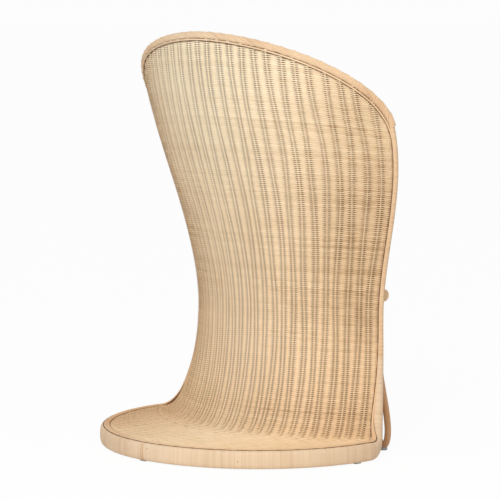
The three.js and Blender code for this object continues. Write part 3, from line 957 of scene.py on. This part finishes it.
def poleLine():
    half = poleHalfLength
    ends = np.array(stand["endPlaces"])
    inner = half - stand["endRun"]
    middles = np.linspace(-inner, inner, stand["polePoints"])
    across = np.concatenate([ends - half, middles, (half - ends)[::-1]])
    rounding = shareOf(np.abs(across), half - stand["endRound"], half)
    girth = stand["poleTube"] * (1.0 - stand["endCut"] * rounding ** 2)
    for node in stand["nodes"]:
        girth = girth + stand["nodeRise"] * np.exp(-((across - node) / stand["nodeSpan"]) ** 2)
    line = np.stack([across, poleBack + 0.0 * across, stand["poleHeight"] + 0.0 * across], -1)
    return line, girth * millimetre


def legLine(side):
    heights = np.linspace(stand["legBellyHeight"], stand["poleHeight"], stand["legPoints"])
    rise = ease(shareOf(heights, stand["legBellyHeight"], stand["legNeckHeight"]))
    middle = lerp(legFootMiddle, legTopMiddle, rise)
    half = lerp(stand["legFootSpread"], stand["legTopSpread"], rise) / 2.0
    turn = np.linspace(0.0, math.pi, stand["turnPoints"])[1:-1]
    depth = stand["legBellyHeight"] - stand["turnHeight"]
    across = np.concatenate([(middle - half)[::-1],
                             legFootMiddle - stand["legFootSpread"] / 2.0 * np.cos(turn), middle + half])
    up = np.concatenate([heights[::-1], stand["legBellyHeight"] - depth * np.sin(turn), heights])
    back = poleBack + stand["legLean"] * (1.0 - up / stand["poleHeight"])
    return np.stack([side * across, back, up], -1)


line, girth = poleLine()
rodPiece("pole", [line], [girth], stand["poleTone"], "wrapped_rattan", stand["poleSides"], rimRattan,
         ("waist_pole",))
for sideName, side in (("left", 1.0), ("right", -1.0)):
    rodPiece("leg_" + sideName, [legLine(side)], stand["legRod"] * millimetre, stand["legTone"], "brown_rod",
             stand["legSides"], rodRattan, ("rear_leg_" + sideName,))
print("pole and legs made")

# plastic glides and foot caps, and the bars under the seat, keep the solids' own meshes
plasticLook = {
    "scuffScale": 180.0, "scuffDetail": (4.0, 0.65), "roughness": (0.32, 0.6), "grainScale": 900.0,
    "bump": 0.15, "bumpDistance": 0.0004,
    "stops": [(0.3, (0.38, 0.36, 0.37)), (0.55, (0.52, 0.50, 0.51)), (0.8, (0.64, 0.62, 0.63))],
}


def plasticMaterial():
    material, tree, shader = newMaterial("grey_plastic")
    place = stretched(tree)
    scuff = noiseNode(tree, place, plasticLook["scuffScale"], *plasticLook["scuffDetail"])
    grain = noiseNode(tree, place, plasticLook["grainScale"])
    rough = mapped(tree, scuff, (0.0, 1.0), plasticLook["roughness"])
    paint(tree, shader, rampNode(tree, scuff, plasticLook["stops"]), rough, grain, plasticLook)
    return material


greyPlastic = plasticMaterial()
for nodeName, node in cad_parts.items():
    if nodeName.startswith(("glide", "foot_cap")):
        finish = greyPlastic
    elif nodeName.startswith("seat_bar"):
        finish = rodRattan
    else:
        continue
    for slotPlace in node.material_slots:
        slotPlace.material = finish
print("plastic and bars dressed")

# floor, light and camera
studio = {
    "paper": 0.98, "worldStrength": 0.5, "keyPower": 114.0, "keySize": 2.0, "keyAzimuth": 36.0,
    "keyElevation": 30.0, "keyDistance": 4.6, "keyAim": 0.5, "floorSize": 900.0, "floorTone": 0.9,
    "floorRoughness": 0.9, "floorGlow": 0.95, "glowStrength": 1.025,
}
camera = {"place": (4.38384, -3.98701, 1.075), "azimuth": 47.06, "pitch": 5.522, "lens": 170.75,
          "sensor": 36.0}


def whereSeen(tree):
    path = tree.nodes.new("ShaderNodeLightPath")
    seen = calc(tree, "MAXIMUM", path.outputs["Is Camera Ray"], path.outputs["Is Glossy Ray"])
    return calc(tree, "MAXIMUM", seen, path.outputs["Is Transmission Ray"])


def linkMix(tree, share, first, second, target):
    mix = flow(tree, "ShaderNodeMixShader", [(0, share), (1, first), (2, second)])
    tree.links.new(mix, tree.nodes[target].inputs["Surface"])


def buildStudio():
    paper = (studio["paper"],) * 3 + (1.0,)
    world = bpy.data.worlds.new("studio")
    scene.world = world
    world.use_nodes = True
    tree = world.node_tree
    lit = tree.nodes["Background"]
    lit.inputs["Color"].default_value = (1.0, 1.0, 1.0, 1.0)
    lit.inputs["Strength"].default_value = studio["worldStrength"]
    shown = flow(tree, "ShaderNodeBackground", [("Color", paper), ("Strength", 1.0)])
    linkMix(tree, whereSeen(tree), lit.outputs[0], shown, "World Output")

    half = studio["floorSize"] / 2.0
    mesh = bpy.data.meshes.new("floor")
    corners = [(-half, -half, 0.0), (half, -half, 0.0), (half, half, 0.0), (-half, half, 0.0)]
    mesh.from_pydata(corners, [], [(0, 1, 2, 3)])
    floor = addObject("floor", mesh)
    material, tree, shader = newMaterial("floor_paper")
    shader.inputs["Base Color"].default_value = (studio["floorTone"],) * 3 + (1.0,)
    shader.inputs["Roughness"].default_value = studio["floorRoughness"]
    shader.inputs["Specular IOR Level"].default_value = 0.0
    glow = flow(tree, "ShaderNodeEmission", [("Color", paper), ("Strength", studio["glowStrength"])])
    share = calc(tree, "MULTIPLY", whereSeen(tree), studio["floorGlow"])
    linkMix(tree, share, shader.outputs[0], glow, "Material Output")
    mesh.materials.append(material)

    lamp = bpy.data.lights.new("key", "AREA")
    lamp.shape = "SQUARE"
    lamp.size = studio["keySize"]
    lamp.energy = studio["keyPower"]
    key = addObject("key", lamp)
    turn = math.radians(studio["keyAzimuth"])
    lift = math.radians(studio["keyElevation"])
    key.location = (studio["keyDistance"] * math.sin(turn) * math.cos(lift),
                    -studio["keyDistance"] * math.cos(turn) * math.cos(lift),
                    studio["keyAim"] + studio["keyDistance"] * math.sin(lift))
    key.rotation_euler = (math.pi / 2 - lift, 0.0, turn)


def buildCamera():
    lens = bpy.data.cameras.new("camera")
    lens.lens = camera["lens"]
    lens.sensor_width = camera["sensor"]
    eye = addObject("camera", lens)
    eye.location = camera["place"]
    eye.rotation_euler = (math.radians(90.0 - camera["pitch"]), 0.0, math.radians(camera["azimuth"]))
    scene.camera = eye


buildStudio()
buildCamera()
scene.view_settings.view_transform = "Standard"

print("scene ready")
